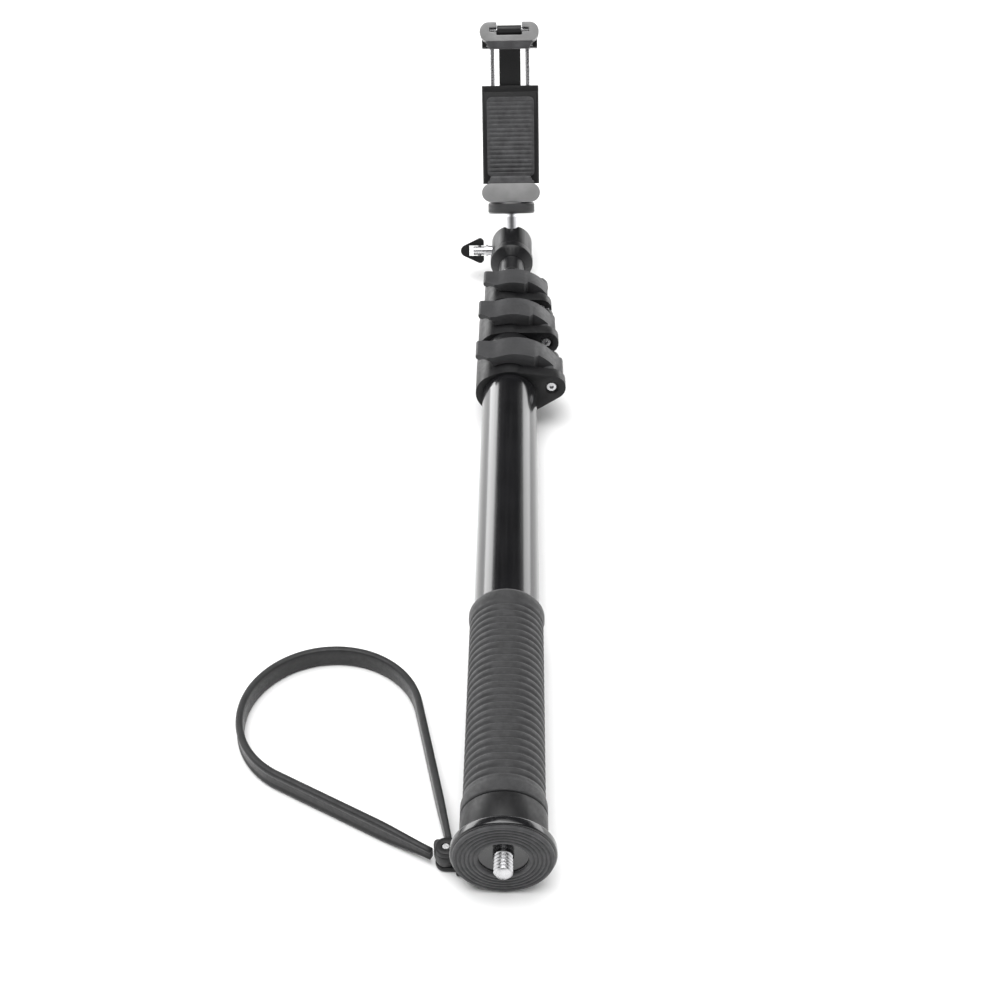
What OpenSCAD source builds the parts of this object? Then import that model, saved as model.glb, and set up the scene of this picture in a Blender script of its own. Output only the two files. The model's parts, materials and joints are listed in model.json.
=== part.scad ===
// Hand-held telescopic pole with flip locks, a ball head and a sprung phone clamp.
// World frame: +Y runs along the pole from the butt to the phone clamp, +Z is up,
// and the origin is on the pole's axis at the outer face of the butt's camera platform.

/* [Pole] */
// Outer diameter of the hand tube
tube_d = 24.2; // [23:0.1:25.5]
// Difference in outer diameter between one tube and the next
tube_step = 3.9; // [3.6:0.1:4]
// Wall of every tube
tube_wall = 1.1; // [0.9:0.05:1.2]
// Butt face to the lower face of the first flip lock
hand_len = 250; // [180:1:320]
// How far each inner tube slides out
travel = 200; // [120:1:205]

/* [Grip and butt] */
// Length of the rubber hand grip
grip_len = 94; // [60:1:94]
// Thickness of the rubber hand grip
grip_t = 1.5; // [1:0.1:2.5]
// Radius of the camera platform
platform_r = 17; // [15:0.5:17]

/* [Ball head] */
// Lean of the ball's stem away from the pole's axis, towards the user
stem_lean = 62; // [30:1:62]
// Turn of the whole head on the pole, seen from the phone's end
head_turn = -2.2; // [-30:0.1:30]
// Radius of the ball
ball_r = 7; // [6.5:0.1:7]
// Diameter of the knurled lock wheel
wheel_d = 23.7; // [20:0.1:26]

/* [Phone clamp] */
// Opening between the two pads
jaw_gap = 66; // [60:1:70]
// Width of both jaws
jaw_w = 29.4; // [24:0.2:30]
// Height of both jaws
jaw_h = 9.2; // [8:0.1:10]

/* [Hidden] */
$fn = 64;
hull_fn = 32;
gap = 0.02;        // between pieces fixed together
run = 0.05;        // radial clearance of a turning fit
cut = 1;           // how far a cutting solid runs past a face

black = [0.05, 0.05, 0.055];
charcoal = [0.16, 0.16, 0.17];
jaw_grey = [0.45, 0.45, 0.46];
steel = [0.7, 0.7, 0.72];
brass = [0.78, 0.62, 0.3];
nylon = [0.85, 0.84, 0.8];

function tube_r(k) = (tube_d - tube_step * (k - 1)) / 2;
function bore_r(k) = tube_r(k) - tube_wall;

// One entry for each flip lock, from the hand tube outwards
lock_h = [33.3, 30.2, 27];                     // height of the collar
ear_x = [18.4, 16.2, 14];                      // lever pivot
ear_y = [-5.2, -6.5, -5.6];
ear_r = [6.3, 5.9, 5.4];
band_r = [13.3, 12.4, 11.0];                   // front of the collar, behind the lever
side_r = [15.2, 15.0, 13.0];                   // left side of the collar
lever_r = [22, 21.4, 19.6];                    // outer face of the lever
lever_c = [[2.5, 3.5], [1.5, 3.3], [1.2, 3.0]];
lever_top = [19.9, 20.3, 18.8];
tip_x = [-15.6, -15.2, -13.5];                 // finger tip of the lever
tip_y = [-16.2, -16.2, -15];
blend_x = [-9.5, -9.5, -8.5];                  // where the flat tip starts to curve outwards
top_r = [12.3, 11.6, 10.2];                    // upper rim of the collar
recess_reach = 8.5;                            // start of the recess under the lever, from its pivot
recess_h = 2.9;
tip_round = 1.4;
tip_wall = 1.45;                               // thickness of the finger tip over its scoop
scoop_r = 3.4;
scoop_in = 4.6;                                // middle of the scoop, from the end of the tip
tip_rise = 3;                                  // how much higher the finger tip's underside is
lever_foot = 6.2;                              // underside of the lever above the collar's foot
socket = 13;                                   // depth of a collar's socket on its own tube
stack_gap = 0.3;
side_bulge_r = 10;
flange_t = 3.6;
upper_ear_r = 3.8;

function lock_z(k) = k == 1 ? hand_len : lock_z(k - 1) + lock_h[k - 2] + stack_gap;
function ear_dist(k) = norm([ear_x[k - 1], ear_y[k - 1]]);
function ear_angle(k) = atan2(ear_y[k - 1], ear_x[k - 1]);
function knuckle_r(k) = ear_dist(k) - band_r[k - 1] - 0.45;

platform_t = 3.8;
pad_t = 1.2;
tube_foot = pad_t + platform_t;                // lower end of the hand tube
foot_step = 3;                                 // each inner tube starts this much higher
inner_foot = 24;
glide_len = 16;

tip_top = lock_z(3) + lock_h[2] + 11;          // upper end of the tip tube
base_z = tip_top + 14.2;                       // lower face of the head's base ring
ring_h = 4.5;
ring_r = 10.7;
housing_r = 10.25;
rim_z = base_z + 21.5;
ball_z = rim_z - 5.6;                          // centre of the ball
knob_z = ball_z - 2.2;
notch_r = 3.35;

wheel_lo = 17.4;                               // heights above the ball's centre, along the stem
wheel_h = 5.8;
jaw_lo = 23.3;
pad_plate = 1.4;
lip_rise = 2.2;
rest_lo = jaw_lo + jaw_h + pad_plate;          // lower pad's face
rest_hi = rest_lo + jaw_gap;                   // upper pad's face
jaw_front = -10;
jaw_back = 9;
slot_back = 1.5;                               // plane of the phone's back
lip_t = 2.6;
rod_x = 9;
rod_r = 1.2;
rod_y = 5.6;
pocket_r = 2.4;
pocket_floor = 37;
tongue_w = 10.8;
tongue_t = 2.6;
cap_z = 78;
fold_z = rest_hi + pad_plate + 5.6;            // axis of the folding upper jaw
fold_y = -6.8;
rod_screw_z = fold_z - 4.6;

strap_x = -18.5;                               // strap pin
strap_z = 11;
strap_w = 8;
strap_t = 2.6;
strap_reach = 72;
strap_loop_r = 33;
strap_angle = 127;                             // direction of the loop on the table

// The pole is drawn upright and laid along +Y, its camera-facing side (-Y here) up.
module laid() rotate([-90, 0, 0]) children();

// Along the leaning stem: Z runs up the stem, -Y faces the user.
module on_stem() rotate([0, 0, head_turn]) translate([0, 0, ball_z]) rotate([stem_lean, 0, 0]) children();

// Tubes ---------------------------------------------------------------------

module pipe(r_out, r_in, z0, z1) {
    translate([0, 0, z0]) difference() {
        cylinder(r = r_out, h = z1 - z0);
        translate([0, 0, -cut]) cylinder(r = r_in, h = z1 - z0 + 2 * cut);
    }
}

function tube_bottom(k) = k == 1 ? tube_foot : inner_foot + foot_step * (k - 2);
function tube_end(k) = k == 4 ? tip_top : lock_z(k) + socket;

module tube(k) color(black) pipe(tube_r(k), bore_r(k), tube_bottom(k), tube_end(k));

module glide(k) color(nylon) {
    foot = tube_bottom(k);
    pipe(bore_r(k - 1) - run, tube_r(k) + gap, foot, foot + glide_len);
}

// Grip and butt -------------------------------------------------------------

module hand_grip() color(charcoal) {
    z0 = 16.5;
    r = tube_r(1);
    rotate_extrude() polygon([
        [r + gap, z0], [r + grip_t + 0.6, z0], [r + grip_t + 0.6, z0 + 4], [r + grip_t, z0 + 6],
        [r + grip_t, z0 + grip_len - 6], [r + grip_t + 0.4, z0 + grip_len - 4],
        [r + grip_t + 0.4, z0 + grip_len - 1], [r + 0.8, z0 + grip_len], [r + gap, z0 + grip_len]
    ]);
}

collar_lo = 6;
collar_hi = 16;
lug_top = 7.6;          // the lug's faces across the pole, downwards
lug_bottom = 16.9;
eye_top = 10.2;
eye_bottom = 15;

module butt_collar() color(black) difference() {
    union() {
        translate([0, 0, collar_lo]) cylinder(r = 14.2, h = collar_hi - collar_lo);
        translate([strap_x + 3.5, lug_top, collar_lo])
            cube([14, lug_bottom - lug_top, collar_hi - collar_lo]);
        for (span = [[lug_top, eye_top - 0.2], [eye_bottom + 0.2, lug_bottom]]) strap_ear(span[0], span[1]);
    }
    translate([0, 0, -cut]) cylinder(r = tube_r(1) + gap, h = 30);
    translate([strap_x, 0, strap_z]) rotate([-90, 0, 0]) cylinder(r = 1.1, h = 30);
}

module strap_ear(y0, y1) {
    translate([strap_x, y0, strap_z]) rotate([-90, 0, 0]) cylinder(r = 3.4, h = y1 - y0);
    translate([strap_x, y0, strap_z - 3.4]) cube([4, y1 - y0, 6.8]);
}

module camera_platform() color(black) difference() {
    union() {
        translate([0, 0, pad_t]) rotate_extrude() polygon([
            [0, 0], [platform_r - 0.5, 0], [platform_r, 0.5], [platform_r, platform_t - 1],
            [platform_r - 1, platform_t], [0, platform_t]
        ]);
        translate([0, 0, tube_foot]) cylinder(r = bore_r(1) - gap, h = 16);
    }
    cylinder(r = 3.2, h = 40);
    translate([0, 0, 15]) cylinder(r = 6.1, h = 40);
}

module platform_pad() color(charcoal) pipe(platform_r - 0.8, 8, 0, pad_t);

module camera_screw() color(steel) {
    translate([0, 0, -5.5]) cylinder(r = 3.175, h = 5.5);
    cylinder(r = 2.6, h = 16);
    translate([0, 0, 15.1]) cylinder(r = 6, h = 4);
}

module strap_pin() color(steel)
    translate([strap_x, lug_top + 0.3, strap_z]) rotate([-90, 0, 0])
        cylinder(r = 1.08, h = lug_bottom - lug_top - 0.6);

// The loop's outline on the table, from the eye outwards along +X
module loop_outline(inset) hull() {
    translate([inset * 3.4, 0]) circle(r = max(0.5, 3.2 - inset), $fn = hull_fn);
    translate([strap_reach, 0]) circle(r = strap_loop_r - inset, $fn = 96);
}

module wrist_strap() color(black)
    translate([strap_x, 0, strap_z]) rotate([90, 0, 0]) rotate([0, 0, strap_angle]) difference() {
        union() {
            translate([0, 0, -17]) linear_extrude(strap_w) difference() {
                loop_outline(0);
                loop_outline(strap_t);
                circle(r = 5.2);
            }
            translate([0, 0, -eye_bottom]) linear_extrude(eye_bottom - eye_top) {
                circle(r = 3.2);
                translate([0, -2]) square([6, 4]);
            }
        }
        translate([0, 0, -30]) cylinder(r = 1.08 + run, h = 40);
    }

// Flip locks ----------------------------------------------------------------

module body_outline(k, grow = 0) hull() {
    circle(r = band_r[k - 1] + grow);
    translate([side_bulge_r - side_r[k - 1], -1.5]) circle(r = side_bulge_r + grow, $fn = hull_fn);
}

// Flange that carries the lever's ear
module ear_outline(k, r) hull() {
    circle(r = band_r[k - 1] - 0.4);
    translate([ear_x[k - 1], ear_y[k - 1]]) circle(r = r, $fn = hull_fn);
}

module lock_collar(k) color(black) translate([0, 0, lock_z(k)]) {
    i = k - 1;
    top = lever_top[i] + 0.4;
    difference() {
        union() {
            linear_extrude(lever_foot - 0.3) ear_outline(k, ear_r[i]);
            linear_extrude(top + flange_t) body_outline(k);
            translate([0, 0, top]) linear_extrude(flange_t - 0.1) ear_outline(k, upper_ear_r);
            translate([0, 0, top + flange_t - 0.5])
                cylinder(r1 = band_r[i] - 0.3, r2 = top_r[i], h = lock_h[i] - top - flange_t + 0.5);
        }
        translate([0, 0, -cut]) cylinder(r = tube_r(k) + gap, h = socket + cut);
        cylinder(r = tube_r(k + 1) + run, h = 60);
        translate([ear_x[i], ear_y[i], -cut]) {
            cylinder(r = 1.62, h = 60);
            cylinder(r = 2.6, h = cut + 2.7);
            cylinder(r = 3.1, h = cut + 0.5);
        }
        rotate([0, 0, ear_angle(k)]) translate([0, -3, socket + 0.7]) cube([30, 6, top - socket - 1]);
    }
}

// The blend is an arc that touches the flat finger tip and the curved wall
function tip_depth(k) = lever_c[k - 1][1] - tip_y[k - 1];
function blend_r(k) = (pow(blend_x[k - 1] - lever_c[k - 1][0], 2) - pow(lever_r[k - 1], 2) + pow(tip_depth(k), 2))
    / (2 * (lever_r[k - 1] - tip_depth(k)));
function blend_c(k) = [blend_x[k - 1], tip_y[k - 1] - blend_r(k)];
function arc(centre, r, from, to, steps) =
    [for (i = [0:steps]) centre + r * [cos(from + (to - from) * i / steps), sin(from + (to - from) * i / steps)]];

// Outline of the lever round its knuckle and along the wall to the finger tip, and straight back inside
function lever_outline(k) = let (
    i = k - 1,
    c = lever_c[i],
    wall_top = ear_y[i] - 0.7 * knuckle_r(k),
    toward = blend_c(k) - c,
    turn = atan2(toward[1], toward[0]),
    tip_c = [tip_x[i] + tip_round, tip_y[i] + tip_round]
) concat(
    arc([ear_x[i], ear_y[i]], knuckle_r(k), 200, -30, 40),
    arc(c, lever_r[i], asin((wall_top - c[1]) / lever_r[i]), turn, 36),
    arc(blend_c(k), blend_r(k), turn + 183, 90, 6),
    arc(tip_c, tip_round, 270, 90, 8),
    [[blend_x[i] + 0.5, tip_y[i] + 2 * tip_round], [blend_x[i] + 0.5, ear_y[i] - 1]]
);

// Plan of the lever: a curved wall round the collar's front, from the knuckle to the finger tip
module lever_plan(k) {
    i = k - 1;
    difference() {
        polygon(lever_outline(k));
        body_outline(k, 0.35);
        translate([tip_x[i] + scoop_in, tip_y[i] + tip_wall + scoop_r]) circle(r = scoop_r);
    }
}

module lock_lever(k) color(charcoal) translate([0, 0, lock_z(k)]) {
    i = k - 1;
    pivot = [ear_x[i], ear_y[i], 0];
    difference() {
        translate([0, 0, lever_foot]) linear_extrude(lever_top[i] - lever_foot) lever_plan(k);
        translate(pivot) cylinder(r = 1.6 + run, h = 60);
        // recess under the lever beside its knuckle, with a sloping end
        difference() {
            translate([ear_x[i] - recess_reach, ear_y[i] + 1.5, lever_foot]) rotate([90, 0, 0])
                linear_extrude(14) polygon([
                    [0, -cut], [recess_h * 0.8, recess_h], [20, recess_h], [20, -cut]
                ]);
            translate(pivot) cylinder(r = knuckle_r(k) + 0.3, h = 60);
        }
        // sloping underside of the finger tip
        translate([tip_x[i], -10, lever_foot]) rotate([90, 0, 0]) linear_extrude(12) polygon([
            [-cut, -cut], [-cut, tip_rise], [tip_rise / 2, tip_rise * 0.8], [2.3 * tip_rise, -cut]
        ]);
    }
}

module lock_pivot(k) color(steel) translate([ear_x[k - 1], ear_y[k - 1], lock_z(k)]) difference() {
    union() {
        translate([0, 0, 0.7]) cylinder(r = 2.1, h = 2);
        translate([0, 0, 2.7]) cylinder(r = 1.6, h = lever_top[k - 1] + 3.2);
    }
    translate([0, 0, -cut]) cylinder(r = 1.1, h = cut + 1.7, $fn = 6);
}

module lock_nut(k) color(steel)
    translate([ear_x[k - 1], ear_y[k - 1], lock_z(k) + lever_top[k - 1] + 4.05]) difference() {
        cylinder(r = 3, h = 2, $fn = 6);
        translate([0, 0, -cut]) cylinder(r = 1.62, h = 6);
    }

module lock_shoe(k) color(nylon) translate([0, 0, lock_z(k)]) rotate([0, 0, ear_angle(k)])
    difference() {
        translate([tube_r(k + 1), -2.9, socket + 0.9])
            cube([ear_dist(k) - knuckle_r(k) - 0.6 - tube_r(k + 1), 5.8, lever_top[k - 1] - socket - 1.2]);
        cylinder(r = tube_r(k + 1) + run, h = 60);
    }

// Ball head -----------------------------------------------------------------

module head_base() color(black) difference() {
    rotate_extrude() polygon([
        [0, tip_top - 16], [bore_r(4) - gap, tip_top - 16], [bore_r(4) - gap, tip_top + gap],
        [tube_r(4), tip_top + gap], [tube_r(4), base_z - 3.3], [6.6, base_z - 3.3],
        [ring_r - 0.2, base_z], [ring_r, base_z + 0.3], [ring_r, base_z + ring_h - 0.3],
        [ring_r - 0.3, base_z + ring_h], [0, base_z + ring_h]
    ]);
    translate([0, 0, tip_top - 17]) cylinder(r = 4.3, h = base_z - tip_top + 17);
    cylinder(r = 2.55, h = 600);
}

module head_screw() color(steel) {
    translate([0, 0, base_z - 3.1]) cylinder(r = 4.2, h = 3);
    translate([0, 0, base_z - 0.2]) cylinder(r = 2.5, h = ring_h + 2.4);
}

module ball_housing() color(black) {
    floor_z = base_z + ring_h + 0.1;
    difference() {
        translate([0, 0, floor_z]) rotate_extrude() polygon([
            [0, 0], [housing_r, 0], [housing_r, rim_z - floor_z - 0.8],
            [housing_r - 0.8, rim_z - floor_z], [0, rim_z - floor_z]
        ]);
        cylinder(r = 2.5 + run, h = 600);
        translate([0, 0, floor_z + 2.4]) cylinder(r = 8.05, h = ball_z - floor_z - 2.4);
        translate([0, 0, ball_z]) sphere(r = ball_r + 0.15, $fn = 96);
        translate([0, 0, ball_z]) cylinder(r = 6.1, h = 20);
        on_knob() rotate([0, -90, 0]) cylinder(r = 2.45, h = 20);
        // notch that the stem lies in, open upwards
        on_stem() cylinder(r = notch_r, h = 20);
        on_stem() translate([-notch_r, 0, 0]) cube([2 * notch_r, 14, 20]);
    }
}

module ball_seat() color(nylon) difference() {
    foot = base_z + ring_h + 2.6;
    translate([0, 0, foot]) cylinder(r = 8, h = 4);
    translate([0, 0, ball_z]) sphere(r = ball_r + 0.1, $fn = 96);
    cylinder(r = 3.2, h = 600);
}

module ball_stem() color(steel) on_stem() {
    sphere(r = ball_r, $fn = 96);
    cylinder(r = 3.1, h = 15.9);
    cylinder(r = 2, h = 18);
    translate([0, 0, 16.9]) cylinder(r = 3.1, h = 12.6);
}

module ball_brake() color(nylon) difference() {
    on_knob() translate([-9.3, 0, 0]) rotate([0, 90, 0]) cylinder(r = 2.4, h = 5);
    translate([0, 0, ball_z]) sphere(r = ball_r + 0.12, $fn = 96);
}

// Knob: X runs along its screw, Z along the cross pin of its folding ring
module on_knob() rotate([0, 0, head_turn]) translate([0, 0, knob_z]) rotate([stem_lean, 0, 0]) children();

knob_pin_x = -16.6;

module knob_screw() color(steel) on_knob() difference() {
    union() {
        translate([-12.8, 0, 0]) rotate([0, 90, 0]) cylinder(r = 2.4, h = 3.4);
        translate([-19.7, 0, 0]) rotate([0, 90, 0]) cylinder(r = 2.1, h = 6.9);
        translate([-13.2, 0, 0]) rotate([0, 90, 0]) cylinder(r = 2.9, h = 0.9);
    }
    translate([knob_pin_x, 0, -10]) cylinder(r = 0.9, h = 20);
}

module knob_ring() color(black) on_knob() difference() {
    rotate([90, 0, 0]) translate([0, 0, -1.7]) linear_extrude(3.4) hull() {
        translate([-16.3, 4.4]) circle(r = 1.9, $fn = hull_fn);
        translate([-16.3, -4.4]) circle(r = 1.9, $fn = hull_fn);
        translate([-23.2, 0]) circle(r = 3, $fn = hull_fn);
    }
    translate([-21.9, -5, -2.6]) cube([10, 10, 5.2]);
    translate([knob_pin_x, 0, -10]) cylinder(r = 0.9 + run, h = 20);
}

module knob_pin() color(steel) on_knob()
    translate([knob_pin_x, 0, -5.9]) cylinder(r = 0.88, h = 11.8);

module lock_wheel() color(black) on_stem() difference() {
    translate([0, 0, wheel_lo]) rotate_extrude() polygon([
        [0, 0], [wheel_d / 2 - 0.8, 0], [wheel_d / 2, 0.8], [wheel_d / 2, wheel_h - 0.8],
        [wheel_d / 2 - 0.8, wheel_h], [0, wheel_h]
    ]);
    cylinder(r = 3.1 + run, h = 60);
}

// Phone clamp ---------------------------------------------------------------

module jaw_outline() hull() for (side = [-1, 1])
    translate([side * (jaw_w - jaw_h) / 2, 0]) circle(r = jaw_h / 2, $fn = hull_fn);

module jaw_block(z_mid, y0, y1)
    translate([0, y1, z_mid]) rotate([90, 0, 0]) linear_extrude(y1 - y0) jaw_outline();

module lower_jaw() color(jaw_grey) on_stem() difference() {
    jaw_block(jaw_lo + jaw_h / 2, jaw_front, jaw_back);
    cylinder(r = 4.52, h = 60);
    translate([0, 20, jaw_lo + jaw_h / 2]) rotate([90, 0, 0]) cylinder(r = 3.52, h = 20 - 5.4);
}

// A pad on its jaw: a flat plate under or over the phone, and a bevelled lip in front of it
module pad(flip) {
    w = jaw_w - 6;
    difference() {
        rotate([90, 0, 90]) translate([0, 0, -w / 2]) linear_extrude(w) polygon([
            [jaw_front, 0], [slot_back + 0.6, 0], [slot_back + 0.6, pad_plate],
            [jaw_front + lip_t, pad_plate], [jaw_front + lip_t - 0.5, pad_plate + lip_rise],
            [jaw_front + 0.7, pad_plate + lip_rise], [jaw_front, pad_plate + lip_rise - 0.8]
        ]);
        for (side = [-1, 1]) translate([side * (w / 2 + 0.2), jaw_front - cut, pad_plate])
            rotate([0, side * -25, 0]) translate([-1, 0, -0.6]) cube([2, 8, 6]);
    }
}

module lower_pad() color(charcoal) on_stem() translate([0, 0, jaw_lo + jaw_h]) pad();

module upper_pad() color(charcoal) on_stem()
    translate([0, 0, rest_hi + pad_plate]) mirror([0, 0, 1]) pad();

module thread_insert() color(brass) on_stem() difference() {
    translate([0, 0, jaw_lo + 0.2]) cylinder(r = 4.5, h = jaw_h - 0.4);
    cylinder(r = 3.1 + run, h = 30);
}

module rear_insert() color(brass) on_stem() translate([0, jaw_back - 0.1, jaw_lo + jaw_h / 2])
    rotate([90, 0, 0]) difference() {
        cylinder(r = 3.5, h = 3.4);
        translate([0, 0, -cut]) cylinder(r = 2.55, h = 10);
    }

housing_w = 28.8;
housing_foot = jaw_lo + jaw_h + gap;

module housing_outline() hull() for (side = [-1, 1]) {
    translate([side * (housing_w / 2 - 2.4), jaw_back - 2.4]) circle(r = 2.4, $fn = hull_fn);
    translate([side * (housing_w / 2 - 1.4), slot_back + 0.7 + 1.4]) circle(r = 1.4, $fn = hull_fn);
}

// Rubber sheet behind the phone
module back_pad() color(charcoal) on_stem() translate([0, slot_back + 0.68, 0]) rotate([90, 0, 0])
    linear_extrude(0.66) hull() for (side = [-1, 1], z = [housing_foot + 6, cap_z - 5])
        translate([side * 9.5, z]) circle(r = 2.5, $fn = hull_fn);

// Channel in which the slider's tongue runs
module tongue_channel(z0)
    translate([-tongue_w / 2 - 0.2, rod_y - tongue_t / 2 - 0.2, z0])
        cube([tongue_w + 0.4, tongue_t + 0.4, 60]);

module clamp_housing() color(black) on_stem() difference() {
    translate([0, 0, housing_foot]) linear_extrude(cap_z - housing_foot) housing_outline();
    tongue_channel(pocket_floor);
    for (side = [-1, 1]) translate([side * rod_x, rod_y, pocket_floor]) cylinder(r = pocket_r, h = 60);
}

module housing_cap() color(black) on_stem() difference() {
    translate([0, 0, cap_z + gap]) linear_extrude(3) housing_outline();
    tongue_channel(cap_z - cut);
    for (side = [-1, 1]) translate([side * rod_x, rod_y, 0]) cylinder(r = rod_r + run, h = 100);
}

// Two rods hang from the slider's head into the spring pockets, each with a collar at its foot
rod_foot = 58;
head_lo = fold_z - 7.4;
rod_top = head_lo + 5;

module guide_rods() color(steel) on_stem() for (side = [-1, 1]) translate([side * rod_x, rod_y, 0]) {
    translate([0, 0, rod_foot - 2]) cylinder(r = 2, h = 2);
    translate([0, 0, rod_foot - 0.5]) cylinder(r = rod_r, h = rod_top - rod_foot + 0.5);
}

// Springs at the length they have when the clamp is fully open
spring_lo = 71;
wire_r = 0.4;

module clamp_springs() color(steel) on_stem() for (side = [-1, 1]) translate([side * rod_x, rod_y, 0])
    for (turn = [0:5]) translate([0, 0, spring_lo + 1.22 * turn]) rotate_extrude()
        translate([1.75, 0]) circle(r = wire_r, $fn = 16);

module clamp_slider() color(jaw_grey) on_stem() difference() {
    union() {
        translate([-tongue_w / 2, rod_y - tongue_t / 2, rod_foot + 4])
            cube([tongue_w, tongue_t, head_lo - rod_foot - 2]);
        // head over the phone's top edge
        translate([-13.9, 2.4, head_lo]) cube([27.8, 6.6, 9.6]);
        translate([-6, fold_y, fold_z - 2]) cube([12, 12, 4]);
        translate([-6, fold_y, fold_z]) rotate([0, 90, 0]) cylinder(r = 2.3, h = 12);
    }
    for (side = [-1, 1]) translate([side * rod_x, rod_y, 0]) cylinder(r = rod_r + gap, h = rod_top + gap);
    translate([-20, fold_y, fold_z]) rotate([0, 90, 0]) cylinder(r = 1.02, h = 40);
    for (side = [-1, 1]) translate([side * rod_x, 20, rod_screw_z]) rotate([90, 0, 0])
        cylinder(r = 1.02, h = 20 - rod_y);
}

// One screw behind each rod holds it in the slider's head
module slider_screws() color(steel) on_stem() for (side = [-1, 1])
    translate([side * rod_x, jaw_back + 0.6, rod_screw_z]) rotate([90, 0, 0]) difference() {
        union() {
            cylinder(r = 2.1, h = 0.58);
            cylinder(r = 1, h = jaw_back + 0.55 - rod_y - rod_r);
        }
        translate([0, 0, -cut]) cylinder(r = 0.9, h = cut + 0.4, $fn = 6);
    }

module upper_jaw() color(jaw_grey) on_stem() difference() {
    jaw_block(rest_hi + pad_plate + gap + jaw_h / 2, jaw_front, slot_back - 0.5);
    // slot for the slider's knuckle, open at the top and back
    translate([-6.3, jaw_front - cut, fold_z - 2.6]) cube([12.6, 30, 20]);
    translate([-9.8, fold_y, fold_z]) rotate([0, 90, 0]) cylinder(r = 1 + run, h = 19.6);
    // groove from the front, in which the pin shows
    translate([-9.8, jaw_front - cut, fold_z - 1 - run]) cube([19.6, fold_y - jaw_front + cut, 2 + 2 * run]);
}

module jaw_hinge_pin() color(steel) on_stem()
    translate([-9.6, fold_y, fold_z]) rotate([0, 90, 0]) cylinder(r = 1, h = 19.2);

laid() tube(1);  // hand_tube
laid() tube(2);  // second_tube
laid() tube(3);  // third_tube
laid() tube(4);  // tip_tube
laid() hand_grip();
laid() butt_collar();
laid() camera_platform();
laid() platform_pad();
laid() camera_screw();
laid() strap_pin();
laid() wrist_strap();
laid() glide(2);  // second_glide
laid() glide(3);  // third_glide
laid() glide(4);  // tip_glide
for (k = [1:3]) {
    laid() lock_collar(k);
    laid() lock_lever(k);
    laid() lock_pivot(k);
    laid() lock_shoe(k);
    laid() lock_nut(k);
}
laid() head_base();
laid() head_screw();
laid() ball_housing();
laid() ball_seat();
laid() ball_stem();
laid() ball_brake();
laid() knob_screw();
laid() knob_ring();
laid() knob_pin();
laid() lock_wheel();
laid() lower_jaw();
laid() lower_pad();
laid() back_pad();
laid() thread_insert();
laid() rear_insert();
laid() clamp_housing();
laid() housing_cap();
laid() guide_rods();
laid() clamp_springs();
laid() clamp_slider();
laid() slider_screws();
laid() upper_jaw();
laid() upper_pad();
laid() jaw_hinge_pin();
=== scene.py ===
import json
import math

import bmesh
import bpy
from mathutils import Matrix, Vector


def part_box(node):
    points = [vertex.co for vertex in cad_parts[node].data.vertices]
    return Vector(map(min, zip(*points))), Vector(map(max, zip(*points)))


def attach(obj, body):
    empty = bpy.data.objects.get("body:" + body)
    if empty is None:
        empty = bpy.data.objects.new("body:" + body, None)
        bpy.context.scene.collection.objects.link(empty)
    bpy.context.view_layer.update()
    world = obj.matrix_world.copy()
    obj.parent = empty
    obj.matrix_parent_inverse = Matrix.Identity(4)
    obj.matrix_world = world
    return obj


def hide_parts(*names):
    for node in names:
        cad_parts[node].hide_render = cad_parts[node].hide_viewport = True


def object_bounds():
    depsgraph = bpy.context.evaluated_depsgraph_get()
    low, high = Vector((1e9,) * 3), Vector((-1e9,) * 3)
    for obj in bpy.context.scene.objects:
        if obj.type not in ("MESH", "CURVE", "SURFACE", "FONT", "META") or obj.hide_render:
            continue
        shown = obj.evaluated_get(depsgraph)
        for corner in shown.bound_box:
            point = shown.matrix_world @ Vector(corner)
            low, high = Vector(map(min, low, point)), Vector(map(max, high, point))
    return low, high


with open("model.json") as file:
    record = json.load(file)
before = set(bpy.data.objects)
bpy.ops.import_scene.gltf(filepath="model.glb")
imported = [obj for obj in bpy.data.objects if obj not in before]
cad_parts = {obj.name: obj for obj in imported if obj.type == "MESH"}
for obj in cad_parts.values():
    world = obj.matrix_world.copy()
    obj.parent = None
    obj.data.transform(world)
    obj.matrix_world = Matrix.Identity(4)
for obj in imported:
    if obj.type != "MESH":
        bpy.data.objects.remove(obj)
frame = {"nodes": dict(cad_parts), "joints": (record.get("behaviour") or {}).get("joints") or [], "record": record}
cad_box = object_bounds()
nodes = frame["nodes"]
record = frame["record"]
SCENE = bpy.context.scene
MM = 0.001

# ---------------------------------------------------------------- camera

FLOOR_Z = cad_box[0].z
VIEW_DOWN = math.radians(39.4)      # how far the camera looks below the horizon
VIEW_ROLL = math.radians(1.2)
CAMERA_AT = (-0.0034, -0.2783, 0.3742)


def make_camera():
    data = bpy.data.cameras.new("camera")
    data.lens, data.sensor_width = 52.2, 36
    camera = bpy.data.objects.new("camera", data)
    SCENE.collection.objects.link(camera)
    turn = Matrix.Rotation(math.pi / 2 - VIEW_DOWN, 4, "X") @ Matrix.Rotation(VIEW_ROLL, 4, "Z")
    camera.matrix_world = Matrix.Translation(CAMERA_AT) @ turn
    SCENE.camera = camera


# ---------------------------------------------------------------- materials


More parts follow.
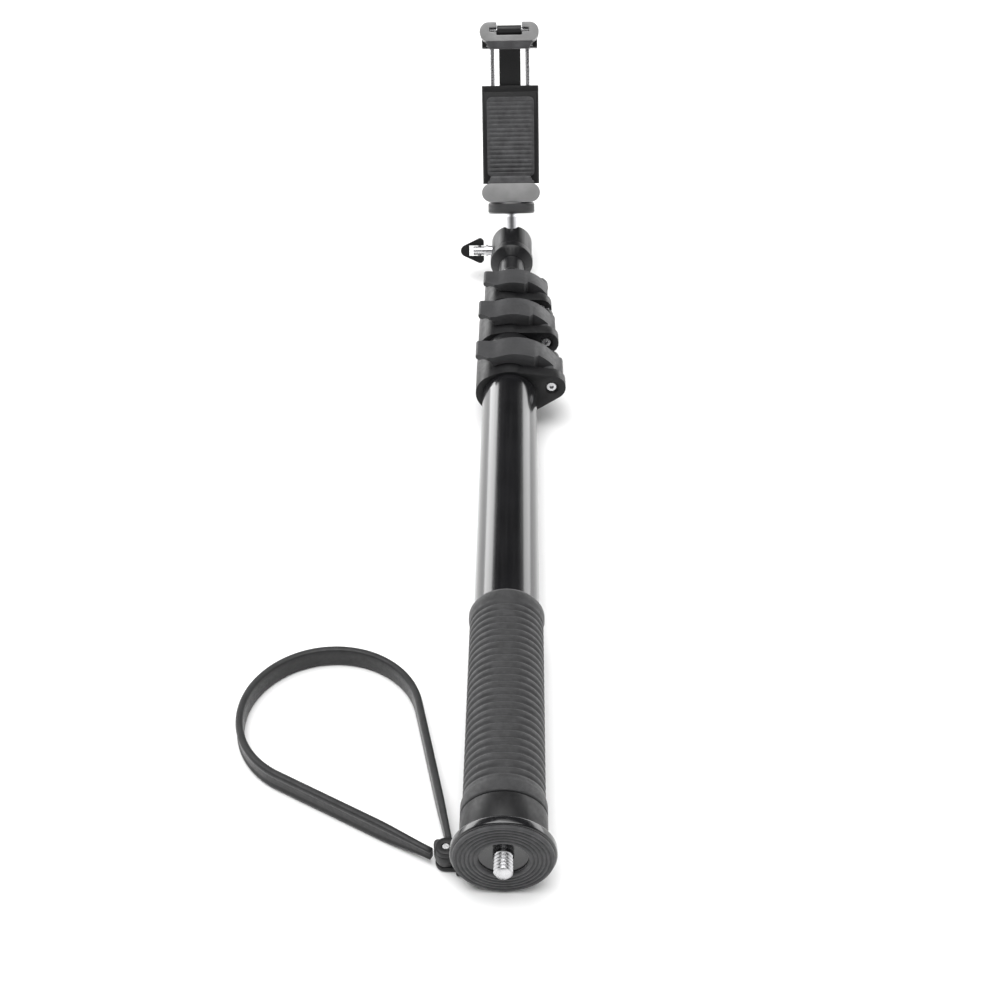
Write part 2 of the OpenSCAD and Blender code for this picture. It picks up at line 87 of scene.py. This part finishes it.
class Shader:
    """A principled material with a few noise layers, all in object coordinates."""

    def __init__(self, name, color, rough, metal=0.0, coat=0.0, specular=0.5):
        self.mat = bpy.data.materials.new(name)
        self.mat.use_nodes = True
        self.tree = self.mat.node_tree
        self.bsdf = self.tree.nodes["Principled BSDF"]
        self.color, self.rough = color, rough
        self.bsdf.inputs["Base Color"].default_value = (*color, 1)
        self.bsdf.inputs["Metallic"].default_value = metal
        self.bsdf.inputs["Coat Weight"].default_value = coat
        self.bsdf.inputs["Coat Roughness"].default_value = 0.08
        self.bsdf.inputs["Specular IOR Level"].default_value = specular
        self.bsdf.inputs["Roughness"].default_value = rough
        self.place = self.node("ShaderNodeTexCoord").outputs["Object"]
        self.height = None

    def node(self, kind, **settings):
        made = self.tree.nodes.new(kind)
        for key, value in settings.items():
            setattr(made, key, value)
        return made

    def link(self, a, b):
        self.tree.links.new(a, b)

    def noise(self, scale, detail=3.0, stretch=(1, 1, 1)):
        """Noise with this many cells a metre, longer along an axis whose stretch is below 1."""
        mapping = self.node("ShaderNodeMapping")
        mapping.inputs["Scale"].default_value = stretch
        self.link(self.place, mapping.inputs["Vector"])
        tex = self.node("ShaderNodeTexNoise")
        tex.inputs["Scale"].default_value = scale
        tex.inputs["Detail"].default_value = detail
        self.link(mapping.outputs["Vector"], tex.inputs["Vector"])
        return tex.outputs["Fac"]

    def spread(self, fac, low, high, start=0.3, end=0.7):
        """fac mapped from start..end to low..high."""
        ranged = self.node("ShaderNodeMapRange")
        ranged.inputs["From Min"].default_value = start
        ranged.inputs["From Max"].default_value = end
        ranged.inputs["To Min"].default_value = low
        ranged.inputs["To Max"].default_value = high
        self.link(fac, ranged.inputs["Value"])
        return ranged.outputs["Result"]

    def vary_color(self, fac, amount, start=0.3, end=0.7):
        """Base colour between darker and lighter by amount."""
        mix = self.node("ShaderNodeMix", data_type="RGBA")
        mix.inputs["A"].default_value = (*[c * (1 - amount) for c in self.color], 1)
        mix.inputs["B"].default_value = (*[min(1, c * (1 + amount)) for c in self.color], 1)
        self.link(self.spread(fac, 0, 1, start, end), mix.inputs["Factor"])
        self.link(mix.outputs["Result"], self.bsdf.inputs["Base Color"])
        return self

    def vary_rough(self, fac, amount):
        ranged = self.spread(fac, self.rough - amount, self.rough + amount)
        self.link(ranged, self.bsdf.inputs["Roughness"])
        return self

    def bump(self, fac, depth, strength=1.0):
        """A bump layer of this depth in metres on top of the ones before."""
        bump = self.node("ShaderNodeBump")
        bump.inputs["Distance"].default_value = depth
        bump.inputs["Strength"].default_value = strength
        self.link(fac, bump.inputs["Height"])
        if self.height is not None:
            self.link(self.height, bump.inputs["Normal"])
        self.height = bump.outputs["Normal"]
        self.link(self.height, self.bsdf.inputs["Normal"])
        return self


def anodised(name="anodised_black", rough=0.2, coat=0.35, specular=0.5):
    s = Shader(name, (0.007, 0.007, 0.0078), rough, coat=coat, specular=specular)
    s.vary_color(s.noise(60), 0.25)
    s.vary_rough(s.noise(900, 4, (1, 0.02, 1)), 0.05)
    return s.bump(s.noise(6000, 2, (1, 0.03, 1)), 0.000004)


def moulded(name, color, rough, grain=0.00002, specular=0.5):
    """Moulded plastic: a fine spark-eroded grain and slight flow marks."""
    s = Shader(name, color, rough, specular=specular)
    s.vary_color(s.noise(120, 4), 0.14)
    s.vary_rough(s.noise(500, 3), 0.07)
    s.bump(s.noise(3500, 3), grain)
    return s.bump(s.noise(90, 2), 0.00006, 0.4)


def rubber(name, color, rough=0.62):
    s = Shader(name, color, rough, specular=0.35)
    s.bsdf.inputs["Sheen Weight"].default_value = 0.12
    s.bsdf.inputs["Sheen Roughness"].default_value = 0.5
    s.vary_color(s.noise(240, 5), 0.3)
    s.vary_rough(s.noise(700, 3), 0.1)
    return s.bump(s.noise(4200, 4), 0.00004)


def metal(name, color, rough, stretch=(1, 1, 1), scratches=0.000006):
    s = Shader(name, color, rough, metal=1.0)
    s.vary_color(s.noise(300, 4), 0.1)
    s.vary_rough(s.noise(1500, 4, stretch), min(0.08, rough * 0.6))
    return s.bump(s.noise(7000, 2, stretch), scratches)


def make_materials():
    return {
        "anodised_black": anodised().mat,
        "blasted_black": anodised("blasted_black", 0.36, 0.0, 0.3).mat,
        "black_plastic": moulded("black_plastic", (0.006, 0.006, 0.0065), 0.42, specular=0.3).mat,
        "lever_plastic": moulded("lever_plastic", (0.034, 0.034, 0.0355), 0.48, 0.000026, 0.34).mat,
        "grip_rubber": rubber("grip_rubber", (0.021, 0.021, 0.022)).mat,
        "strap_rubber": rubber("strap_rubber", (0.012, 0.012, 0.0125), 0.5).mat,
        "pad_rubber": rubber("pad_rubber", (0.042, 0.042, 0.044)).mat,
        "jaw_grey": moulded("jaw_grey", (0.2, 0.2, 0.2), 0.42, 0.000014).mat,
        "steel": metal("steel", (0.55, 0.55, 0.56), 0.27).mat,
        "chrome": metal("chrome", (0.66, 0.66, 0.68), 0.09, scratches=0.000002).mat,
        "brass": metal("brass", (0.68, 0.49, 0.2), 0.25).mat,
        "nylon": moulded("nylon", (0.72, 0.7, 0.64), 0.45).mat,
    }


# Machined pieces of the anodised slot that are bead-blasted instead of polished
BLASTED = ("ball_housing", "head_base")


def finish_of(node):
    return MATERIALS["blasted_black" if node in BLASTED else SLOT_OF[node]]


def paint(piece, material):
    piece.data.materials.clear()
    piece.data.materials.append(material)


# ---------------------------------------------------------------- mesh helpers


def new_piece(name, verts, faces, body, slot_name, replaced=(), smooth=True):
    mesh = bpy.data.meshes.new(name)
    mesh.from_pydata([tuple(v) for v in verts], [], faces)
    cleaner = bmesh.new()
    cleaner.from_mesh(mesh)
    bmesh.ops.recalc_face_normals(cleaner, faces=cleaner.faces)
    cleaner.to_mesh(mesh)
    cleaner.free()
    piece = bpy.data.objects.new(name, mesh)
    SCENE.collection.objects.link(piece)
    if smooth:
        mesh.shade_smooth()
    paint(piece, MATERIALS[slot_name])
    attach(piece, body)
    if replaced:
        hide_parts(*replaced)
    return piece


def grid_faces(rows, columns, wrap_rows=False, wrap_columns=True):
    """Quads of a grid of rows by columns, numbered row by row."""
    faces = []
    for i in range(rows if wrap_rows else rows - 1):
        for j in range(columns if wrap_columns else columns - 1):
            a, b = i * columns + j, i * columns + (j + 1) % columns
            c, d = ((i + 1) % rows) * columns + (j + 1) % columns, ((i + 1) % rows) * columns + j
            faces.append((a, b, c, d))
    return faces


def spun(profile, count, place, radius_at=None):
    """A closed profile of (radius, height) points turned into a ring. place(x, y, h) puts it in place.
    radius_at(r, h, angle) may change the radius, for knurls and ribs."""
    verts = []
    for r, h in profile:
        for j in range(count):
            angle = 2 * math.pi * j / count
            rr = radius_at(r, h, angle) if radius_at else r
            verts.append(place(rr * math.cos(angle), rr * math.sin(angle), h))
    return verts, grid_faces(len(profile), count, wrap_rows=True)


def along_pole(x, y, h):
    return Vector((x, h, y))


MATERIALS = make_materials()


# ---------------------------------------------------------------- softened CAD shells

# Edge radius in mm of the shells whose moulded or machined edges show
SOFT_EDGES = {
    "lock_{k}_lever": 0.55, "lock_{k}_collar": 0.4,
    "butt_collar": 0.4, "camera_platform": 0.3,
    "head_base": 0.22, "ball_housing": 0.28, "knob_ring": 0.5,
    "lower_jaw": 0.5, "upper_jaw": 0.45, "lower_pad": 0.25, "upper_pad": 0.25,
    "clamp_housing": 0.4, "housing_cap": 0.3, "clamp_slider": 0.35,
}
FLAT = math.radians(1.0)            # faces closer than this to one plane are merged
SHARP = math.radians(32)            # edges sharper than this are rounded
CREASED = math.radians(40)          # edges sharper than this stay a crease in the shading
WELD = 2e-6                         # metres between vertices that count as one

SLOT_OF = {row["node"]: row["material_slot"] for row in record["subparts"]}
BODY_OF = {n: body for body, names in record["behaviour"]["bodies"].items() for n in names}


def soften(node, radius):
    """A copy of a CAD shell with its sharp edges rounded."""
    mesh = nodes[node].data.copy()
    mesh.name = node + "_soft"
    work = bmesh.new()
    work.from_mesh(mesh)
    bmesh.ops.remove_doubles(work, verts=work.verts, dist=WELD)
    bmesh.ops.dissolve_limit(work, angle_limit=FLAT, verts=work.verts, edges=work.edges)
    sharp = [e for e in work.edges if len(e.link_faces) == 2 and e.calc_face_angle(0) > SHARP]
    bmesh.ops.bevel(
        work, geom=sharp, offset=radius * MM, offset_type="OFFSET", segments=3, profile=0.5,
        affect="EDGES", clamp_overlap=True, loop_slide=True,
    )
    bmesh.ops.triangulate(work, faces=[f for f in work.faces if len(f.verts) > 4])
    for face in work.faces:
        face.smooth = True
    for edge in work.edges:
        edge.smooth = not (len(edge.link_faces) == 2 and edge.calc_face_angle(0) > CREASED)
    work.to_mesh(mesh)
    work.free()
    for name in ("custom_normal", "sharp_face"):
        if name in mesh.attributes:
            mesh.attributes.remove(mesh.attributes[name])
    piece = bpy.data.objects.new(node + "_soft", mesh)
    SCENE.collection.objects.link(piece)
    paint(piece, finish_of(node))
    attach(piece, BODY_OF[node])
    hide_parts(node)
    return piece


def soften_shells():
    for pattern, radius in SOFT_EDGES.items():
        for k in (1, 2, 3) if "{k}" in pattern else (0,):
            soften(pattern.format(k=k), radius)


# ---------------------------------------------------------------- the stem's own axes

JOINTS = {j["name"]: j for j in frame["joints"]}
BALL = Vector(JOINTS["head_pan"]["pos_m"])
STEM = Vector(JOINTS["wheel_spin"]["axis"]).normalized()
SIDE = -Vector(JOINTS["jaw_fold"]["axis"]).normalized()
BACK = STEM.cross(SIDE)


def on_stem(x, y, h):
    return BALL + SIDE * x + BACK * y + STEM * h


def span(node, axis, start=BALL):
    """Lowest and highest place of a CAD node along an axis."""
    along = [(v.co - start).dot(axis) for v in nodes[node].data.vertices]
    return min(along), max(along)


def zigzag(x):
    """1 at whole numbers, 0 halfway between."""
    return abs(2 * (x % 1) - 1)


def rows_between(low, high, count):
    return [low + (high - low) * i / (count - 1) for i in range(count)]


# ---------------------------------------------------------------- detailed pieces

KNURLS = 76
# One rib of the grip: share of the pitch, and share of the groove's depth there
RIB = ((0.0, 1), (0.1, 0.95), (0.22, 0.3), (0.36, 0.04), (0.64, 0.04), (0.78, 0.3), (0.9, 0.95))
QUARTER_INCH_R = 3.175 * MM


def lock_wheel():
    """The wheel under the clamp, with a diamond knurl round its rim."""
    low, high = span("lock_wheel", STEM)
    outer = span("lock_wheel", SIDE)[1]
    bore, lip, depth = 3.15 * MM, 0.75 * MM, 0.34 * MM
    pitch = 2 * math.pi * outer / KNURLS
    rim = [(outer, h) for h in rows_between(low + lip, high - lip, 27)]
    profile = [
        (bore, low), (bore + 1.2 * MM, low), (outer - 3 * MM, low), (outer - 2.6 * MM, low + 0.25 * MM),
        (outer - 1.8 * MM, low), (outer - lip - 0.1 * MM, low), (outer - lip / 3, low + lip / 3), *rim,
        (outer - lip / 3, high - lip / 3), (outer - lip, high), (bore, high),
    ]
    inside = (low + lip + 0.1 * MM, high - lip - 0.1 * MM)

    def knurl(r, h, angle):
        if r < outer - 1e-9 or not inside[0] < h < inside[1]:
            return r - (depth if r > outer - 1e-9 else 0) * 0.6
        turn, rise = KNURLS * angle / (2 * math.pi), (h - low) / pitch / 1.25
        ridge = min(1 - zigzag(turn + rise), 1 - zigzag(turn - rise))
        return r - depth * max(0.0, 1 - 1.9 * ridge)

    verts, faces = spun(profile, KNURLS * 6, on_stem, knurl)
    new_piece("lock_wheel_knurled", verts, faces, "lock_wheel", "anodised_black", ["lock_wheel"])


def hand_grip():
    """Rubber sleeve: smooth bands at both ends, and rounded ribs between them."""
    low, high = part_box("hand_grip")
    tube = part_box("hand_tube")[1].x
    flare, body = high.x, high.x - 0.6 * MM
    start, end = low.y + 7.5 * MM, high.y - 7.5 * MM
    pitch, groove = 3.16 * MM, 0.55 * MM
    count = int((end - start) / pitch)
    pitch = (end - start) / count
    ribs = []
    for i in range(count):
        at = start + i * pitch
        for share, drop in RIB:
            ribs.append((body - groove * drop, at + share * pitch))
    profile = [
        (tube, low.y), (flare - 0.5 * MM, low.y), (flare - 0.1 * MM, low.y + 0.2 * MM),
        (flare, low.y + 0.7 * MM), (flare, low.y + 4 * MM), (flare - 0.15 * MM, low.y + 4.8 * MM),
        (body, low.y + 6.4 * MM), (body, start - 0.3 * MM), *ribs, (body - groove, end),
        (body, end + 0.4 * MM), (body, high.y - 6 * MM), (flare - 0.35 * MM, high.y - 4.6 * MM),
        (flare - 0.2 * MM, high.y - 3.8 * MM), (flare - 0.2 * MM, high.y - 1.6 * MM),
        (flare - 0.8 * MM, high.y - 0.4 * MM), (tube + 0.6 * MM, high.y), (tube, high.y),
    ]

    def fluted(r, h, angle):
        """Three shallow flutes along the sleeve keep it from turning in the hand."""
        if r <= tube + 1e-9 or not start < h < end:
            return r
        ease = min(1, (h - start) / (8 * MM), (end - h) / (8 * MM))
        return r - 0.32 * MM * ease * max(0.0, math.cos(3 * angle + math.pi / 2)) ** 3

    verts, faces = spun(profile, 144, along_pole, fluted)
    new_piece("hand_grip_ribbed", verts, faces, "pole", "grip_rubber", ["hand_grip"])


def platform_pad():
    """Ring of rubber with round grooves, on which a camera would sit."""
    low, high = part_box("platform_pad")
    outer, inner = high.x, 8 * MM
    thick, groove = high.y - low.y, 0.4 * MM
    count = 5
    pitch = (outer - inner - 1.6 * MM) / count
    face = []
    for i in range(count):
        at = inner + 0.8 * MM + i * pitch
        face += [(at, low.y), (at + 0.3 * pitch, low.y), (at + 0.45 * pitch, low.y + groove),
                 (at + 0.7 * pitch, low.y + groove), (at + 0.85 * pitch, low.y)]
    profile = [
        (inner, low.y + thick), (inner, low.y + 0.3 * MM), (inner + 0.3 * MM, low.y), *face,
        (outer - 0.3 * MM, low.y), (outer, low.y + 0.3 * MM), (outer, low.y + thick),
    ]
    verts, faces = spun(profile, 120, along_pole)
    new_piece("platform_pad_grooved", verts, faces, "pole", "pad_rubber", ["platform_pad"])


def camera_screw():
    """Quarter-inch screw, 20 threads to the inch, with its head inside the butt."""
    low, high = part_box("camera_screw")
    head_r, thread_r, head_h = high.x, QUARTER_INCH_R, 4 * MM
    pitch, depth = 25.4 / 20 * MM, 0.7 * MM
    neck = high.y - head_h
    threaded = [(thread_r, h) for h in rows_between(low.y + 0.5 * MM, low.y + 9 * MM, 68)]
    profile = [
        (0.9 * MM, low.y + 0.02 * MM), (thread_r - 0.9 * MM, low.y), *threaded,
        (thread_r - 0.07 * MM, low.y + 9.4 * MM), (thread_r - 0.07 * MM, neck),
        (head_r - 0.4 * MM, neck), (head_r, neck + 0.4 * MM),
        (head_r, high.y - 0.5 * MM), (head_r - 0.5 * MM, high.y), (0.9 * MM, high.y),
    ]
    top = low.y + 9 * MM

    def thread(r, h, angle):
        if abs(r - thread_r) > 1e-9:
            return r
        fade = min(1, (top - h) / pitch)
        dip = 1 - zigzag(h / pitch - angle / (2 * math.pi))
        return r - depth * max(fade, 0) * min(1, 1.25 * dip)

    verts, faces = turned(profile, 72, along_pole, thread)
    new_piece("camera_screw_threaded", verts, faces, "pole", "steel", ["camera_screw"])


def turned(profile, count, place, radius_at=None):
    """An open profile turned into a solid, closed by a flat face at both ends."""
    verts, _ = spun(profile, count, place, radius_at)
    faces = grid_faces(len(profile), count)
    faces.append(tuple(range(count)))
    faces.append(tuple(range((len(profile) - 1) * count, len(profile) * count)))
    return verts, faces


def clamp_springs():
    """Two coil springs over the guide rods, at the length they have with the clamp fully open."""
    low, high = span("clamp_springs", STEM)
    reach = span("clamp_springs", SIDE)[1]
    near, far = span("clamp_springs", BACK)
    wire, turns, sides, steps = 0.4 * MM, 6, 8, 28
    coil_r = (far - near) / 2 - wire
    middle = (near + far) / 2
    verts, faces = [], []
    for side in (-1, 1):
        across = side * (reach - coil_r - wire)
        rings = turns * steps
        first = len(verts)
        for i in range(rings):
            angle = 2 * math.pi * i / steps
            rise = low + wire + (high - low - 2 * wire) * i / (rings - 1)
            for j in range(sides):
                bend = 2 * math.pi * j / sides
                r = coil_r + wire * math.cos(bend)
                x, y = across + r * math.cos(angle), middle + r * math.sin(angle)
                verts.append(on_stem(x, y, rise + wire * math.sin(bend)))
        faces += [tuple(first + v for v in face) for face in grid_faces(rings, sides)]
        faces += [tuple(range(first, first + sides)), tuple(range(len(verts) - sides, len(verts)))]
    new_piece("clamp_springs_coiled", verts, faces, "clamp", "steel", ["clamp_springs"])


def back_pad():
    """Rubber sheet behind the phone, with cross ribs."""
    low, high = span("back_pad", STEM)
    half = span("back_pad", SIDE)[1]
    front, back = span("back_pad", BACK)
    corner, groove, pitch = 2.5 * MM, 0.3 * MM, 2.2 * MM
    heights = rows_between(low, high, 161)
    verts, columns = [], 13
    rows = []
    for h in heights:
        edge = min(h - low, high - h)
        inset = corner - math.sqrt(max(0.0, corner**2 - max(0.0, corner - edge) ** 2))
        rows.append((h, half - inset))
    for h, wide in rows:
        for j in range(columns):
            x = wide * (2 * j / (columns - 1) - 1)
            inner = abs(x) < half - 1.8 * MM and low + 2.2 * MM < h < high - 2.2 * MM
            dip = groove * max(0.0, min(1.0, 2.5 * zigzag((h - low) / pitch) - 1)) if inner else 0
            rim = 0.12 * MM if j in (0, columns - 1) else 0
            verts.append(on_stem(x, front + dip + rim, h))
    for h, wide in rows:
        for j in range(columns):
            verts.append(on_stem(wide * (2 * j / (columns - 1) - 1), back, h))
    count = len(rows) * columns
    sheet = grid_faces(len(rows), columns, wrap_columns=False)
    faces = sheet + [tuple(count + v for v in face) for face in sheet]
    for i in range(len(rows) - 1):
        for j in (0, columns - 1):
            a, b = i * columns + j, (i + 1) * columns + j
            faces.append((a, b, count + b, count + a))
    for i in (0, len(rows) - 1):
        for j in range(columns - 1):
            a = i * columns + j
            faces.append((a, a + 1, count + a + 1, count + a))
    new_piece("back_pad_ribbed", verts, faces, "clamp", "pad_rubber", ["back_pad"])


# ---------------------------------------------------------------- wrist strap

STRAP_LOOP_R, STRAP_EYE_R, STRAP_REACH = 33 * MM, 3.2 * MM, 72 * MM
STRAP_T, STRAP_ANGLE = 2.6 * MM, math.radians(127)


def strap_path(count):
    """Centreline of the band from one side of the eye round the loop to the other, in its own plane."""
    small, big = STRAP_EYE_R - STRAP_T / 2, STRAP_LOOP_R - STRAP_T / 2
    lean = math.asin((big - small) / STRAP_REACH)
    up = Vector((-math.sin(lean), math.cos(lean)))
    start, end = up * small, Vector((STRAP_REACH, 0)) + up * big
    points = [start.lerp(end, i / 30) for i in range(30)]
    sweep = math.pi / 2 + lean
    for i in range(count + 1):
        a = sweep - 2 * sweep * i / count
        points.append(Vector((STRAP_REACH + big * math.cos(a), big * math.sin(a))))
    mirrored = [Vector((p.x, -p.y)) for p in reversed(points[:30])]
    return points + mirrored


def wrist_strap():
    """Moulded band with rounded edges and a shallow channel outside, narrowing into the eye on its pin."""
    low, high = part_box("wrist_strap")
    swing = Vector(JOINTS["strap_swing"]["pos_m"])
    path = strap_path(96)
    bottom, top = low.z, high.z
    middle, half_w, half_t = (bottom + top) / 2, (top - bottom) / 2, STRAP_T / 2
    eye_mid, eye_half = -12.6 * MM, 2.3 * MM
    section = [
        (-1, -0.78), (-0.86, -0.93), (-0.5, -1), (0.5, -1), (0.86, -0.93), (1, -0.78), (1, -0.6),
        (0.72, -0.5), (0.68, -0.3), (0.68, 0.3), (0.72, 0.5), (1, 0.6), (1, 0.78), (0.86, 0.93),
        (0.5, 1), (-0.5, 1), (-0.86, 0.93), (-1, 0.78), (-1, 0.4), (-1, -0.4),
    ]
    turn = Matrix.Rotation(STRAP_ANGLE, 2)
    first_out = 4.2 * MM
    path = [p for p in path if p.length > first_out]
    reach = STRAP_REACH * 0.3
    verts = []
    for i, p in enumerate(path):
        ahead, behind = path[min(i + 1, len(path) - 1)], path[max(i - 1, 0)]
        along = (ahead - behind).normalized()
        out = Vector((-along.y, along.x))
        ease = min(1, max(0, (p.length - first_out) / reach))
        ease = ease * ease * (3 - 2 * ease)
        wide = eye_half + (half_w - eye_half) * ease
        centre = eye_mid + (middle - eye_mid) * ease
        thick = half_t * (0.8 + 0.2 * ease)
        for across, height in section:
            q = turn @ (p + out * across * thick)
            verts.append(Vector((swing.x + q.x, swing.y + q.y, centre + wide * height)))
    columns = len(section)
    faces = grid_faces(len(path), columns)
    faces += [tuple(range(columns)), tuple(range(len(verts) - columns, len(verts)))]
    # the eye: a ring on the pin that overlaps both ends of the band
    count, bore = 48, 1.13 * MM
    low_eye, high_eye, round_r = eye_mid - eye_half, eye_mid + eye_half, 0.4 * MM
    ring = [
        (bore, low_eye), (STRAP_EYE_R - round_r, low_eye), (STRAP_EYE_R - 0.1 * MM, low_eye + 0.15 * MM),
        (STRAP_EYE_R, low_eye + round_r), (STRAP_EYE_R, high_eye - round_r),
        (STRAP_EYE_R - 0.1 * MM, high_eye - 0.15 * MM), (STRAP_EYE_R - round_r, high_eye),
        (bore, high_eye),
    ]

    def stretched(x, y, h):
        """The ring's far side reaches out into the band."""
        q = Vector((x, y))
        if q.length > 2 * MM:
            q.x += max(0.0, q.x / STRAP_EYE_R) ** 2 * 2.6 * MM
        q = turn @ q
        return Vector((swing.x + q.x, swing.y + q.y, h))

    ring_verts, ring_faces = spun(ring, count, stretched)
    shift = len(verts)
    verts += ring_verts
    faces += [tuple(shift + v for v in face) for face in ring_faces]
    new_piece("wrist_strap_moulded", verts, faces, "strap", "strap_rubber", ["wrist_strap"])


# ---------------------------------------------------------------- floor and light

FLOOR_HALF = 30.0
SUN_STRENGTH, SUN_WIDTH = 2.6, math.radians(70)
SKY_LOW, SKY_HIGH = (1, 1, 1, 1), (0.03, 0.03, 0.03, 1)


def make_floor():
    mesh = bpy.data.meshes.new("floor")
    corners = [(x * FLOOR_HALF, y * FLOOR_HALF, 0) for x, y in ((-1, -1), (1, -1), (1, 1), (-1, 1))]
    mesh.from_pydata(corners, [], [(0, 1, 2, 3)])
    floor = bpy.data.objects.new("floor", mesh)
    floor.location.z = FLOOR_Z - 0.0002
    SCENE.collection.objects.link(floor)
    s = Shader("floor_paper", (0.9, 0.9, 0.9), 0.85, specular=0.2)
    s.vary_color(s.noise(3, 2), 0.01)
    floor.data.materials.append(s.mat)


def area_light(name, at, aim, size, watts):
    data = bpy.data.lights.new(name, "AREA")
    data.shape = "RECTANGLE"
    data.size, data.size_y = size
    data.energy = watts
    light = bpy.data.objects.new(name, data)
    light.location = at
    light.rotation_mode = "QUATERNION"
    light.rotation_quaternion = (Vector(aim) - Vector(at)).to_track_quat("-Z", "Y")
    SCENE.collection.objects.link(light)


def make_lights():
    """A soft box overhead, one each side ahead, an even top light for the floor, and a sky that is
    bright only near the horizon."""
    area_light("overhead", (-0.25, 0.05, 1.5), (0, 0.25, 0), (1.6, 1.2), 18)
    area_light("left_panel", (-1.5, 1.4, 0.3), (0, 0.25, 0), (1.8, 1.0), 26)
    area_light("right_panel", (1.5, 1.4, 0.3), (0, 0.25, 0), (1.8, 0.8), 14)
    sun = bpy.data.lights.new("even_top_light", "SUN")
    sun.energy, sun.angle = SUN_STRENGTH, SUN_WIDTH
    SCENE.collection.objects.link(bpy.data.objects.new("even_top_light", sun))
    world = bpy.data.worlds.new("studio")
    SCENE.world = world
    world.use_nodes = True
    tree = world.node_tree
    back = tree.nodes["Background"]
    place = tree.nodes.new("ShaderNodeTexCoord")
    split = tree.nodes.new("ShaderNodeSeparateXYZ")
    ramp = tree.nodes.new("ShaderNodeValToRGB")
    tree.links.new(place.outputs["Generated"], split.inputs["Vector"])
    tree.links.new(split.outputs["Z"], ramp.inputs["Fac"])
    tree.links.new(ramp.outputs["Color"], back.inputs["Color"])
    stops = ramp.color_ramp.elements
    stops[0].position, stops[0].color = 0.2, SKY_LOW
    stops[1].position, stops[1].color = 0.5, SKY_HIGH
    back.inputs["Strength"].default_value = 1.0
    SCENE.view_settings.view_transform = "Standard"


# ---------------------------------------------------------------- build

make_camera()
for name, node in nodes.items():
    paint(node, finish_of(name))
soften_shells()
for build in (lock_wheel, hand_grip, platform_pad, camera_screw, clamp_springs, back_pad, wrist_strap):
    build()
make_floor()
make_lights()
